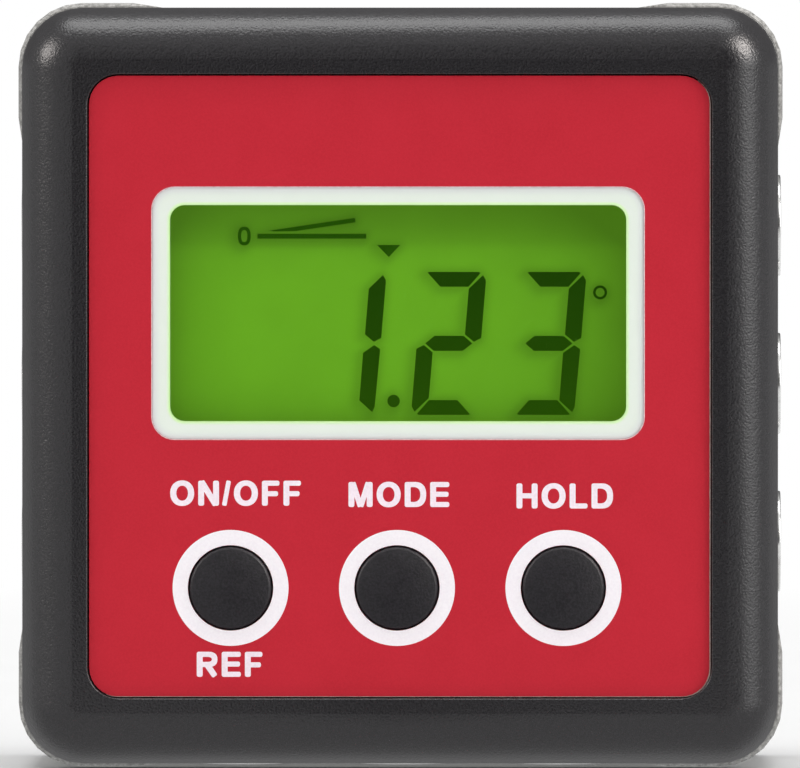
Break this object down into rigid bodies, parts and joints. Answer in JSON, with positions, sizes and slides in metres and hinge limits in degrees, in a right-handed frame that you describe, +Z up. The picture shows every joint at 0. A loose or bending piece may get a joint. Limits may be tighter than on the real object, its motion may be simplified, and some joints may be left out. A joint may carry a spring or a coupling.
{
  "type": "digital angle gauge",
  "caption": "Square digital angle gauge: aluminium measuring frame with magnets, moulded covers, backlit display, round keys and a battery door on the back.",
  "frame": {"origin": "on the resting plane under the middle of the gauge, midway through its depth", "axes": "+Z up with the gauge standing on its bottom pads, -Y out of the display face, +X to the right seen from the front"},
  "size_m": [0.06, 0.033, 0.06],
  "materials": {
    "cast_aluminium": "blasted casting with machined pads",
    "charcoal_plastic": "fine spark texture",
    "key_plastic": "matt",
    "label_red": "satin printed film",
    "white_moulding": "translucent white",
    "clear_acrylic": "polished",
    "display_glass": "polished",
    "polarizer_film": "film",
    "light_guide": "diffusing, lit green",
    "elastomer": "matt",
    "circuit_board": "solder mask",
    "chip_black": "moulded epoxy",
    "steel": "zinc plated",
    "nickel_plate": "nickel plated",
    "magnet_nickel": "nickel plated",
    "cell_sleeve": "plain printed sleeve"
  },
  "bodies": {
    "housing": {"body_frame": "cast_aluminium", "front_cover": "charcoal_plastic", "rear_cover": "charcoal_plastic", "face_label": "label_red", "display_surround": "white_moulding", "window_lens": "clear_acrylic", "front_polarizer": "polarizer_film", "front_glass": "display_glass", "rear_glass": "display_glass", "rear_polarizer": "polarizer_film", "light_guide": "light_guide", "backlight_led_left": "white_moulding", "backlight_led_right": "white_moulding", "connector_strip": "elastomer", "main_board": "circuit_board", "controller_chip": "chip_black", "tilt_sensor": "chip_black", "switch_body_on_off": "steel", "switch_body_mode": "steel", "switch_body_hold": "steel", "magnet_left_1": "magnet_nickel", "magnet_left_2": "magnet_nickel", "magnet_left_3": "magnet_nickel", "magnet_right_1": "magnet_nickel", "magnet_right_2": "magnet_nickel", "magnet_right_3": "magnet_nickel", "magnet_bottom_1": "magnet_nickel", "magnet_bottom_2": "magnet_nickel", "magnet_bottom_3": "magnet_nickel", "battery_upper": "cell_sleeve", "battery_lower": "cell_sleeve", "positive_contact": "nickel_plate", "negative_contact": "nickel_plate", "bridge_contact": "nickel_plate", "negative_spring": "nickel_plate", "bridge_spring": "nickel_plate", "front_screw_1": "steel", "front_screw_2": "steel", "front_screw_3": "steel", "front_screw_4": "steel", "case_screw_1": "steel", "case_screw_2": "steel", "case_screw_3": "steel", "case_screw_4": "steel", "board_screw_1": "steel", "board_screw_2": "steel", "board_screw_3": "steel", "board_screw_4": "steel"},
    "on_off_key": {"key_on_off": "key_plastic", "switch_plunger_on_off": "chip_black"},
    "mode_key": {"key_mode": "key_plastic", "switch_plunger_mode": "chip_black"},
    "hold_key": {"key_hold": "key_plastic", "switch_plunger_hold": "chip_black"},
    "battery_lid": {"battery_door": "charcoal_plastic"}
  },
  "joints": [
    {"name": "on_off_press", "type": "slide", "parent": "housing", "child": "on_off_key", "axis": [0, 1, 0], "range_m": [0, 0.00035], "stiffness_N_per_m": 1500, "springref_m": -0.0005},
    {"name": "mode_press", "type": "slide", "parent": "housing", "child": "mode_key", "axis": [0, 1, 0], "range_m": [0, 0.00035], "stiffness_N_per_m": 1500, "springref_m": -0.0005},
    {"name": "hold_press", "type": "slide", "parent": "housing", "child": "hold_key", "axis": [0, 1, 0], "range_m": [0, 0.00035], "stiffness_N_per_m": 1500, "springref_m": -0.0005},
    {"name": "battery_door_hinge", "type": "hinge", "parent": "housing", "child": "battery_lid", "pos_m": [-0.02335, 0.0165, 0.03], "axis": [0, 0, 1], "range_deg": [0, 60]}
  ]
}
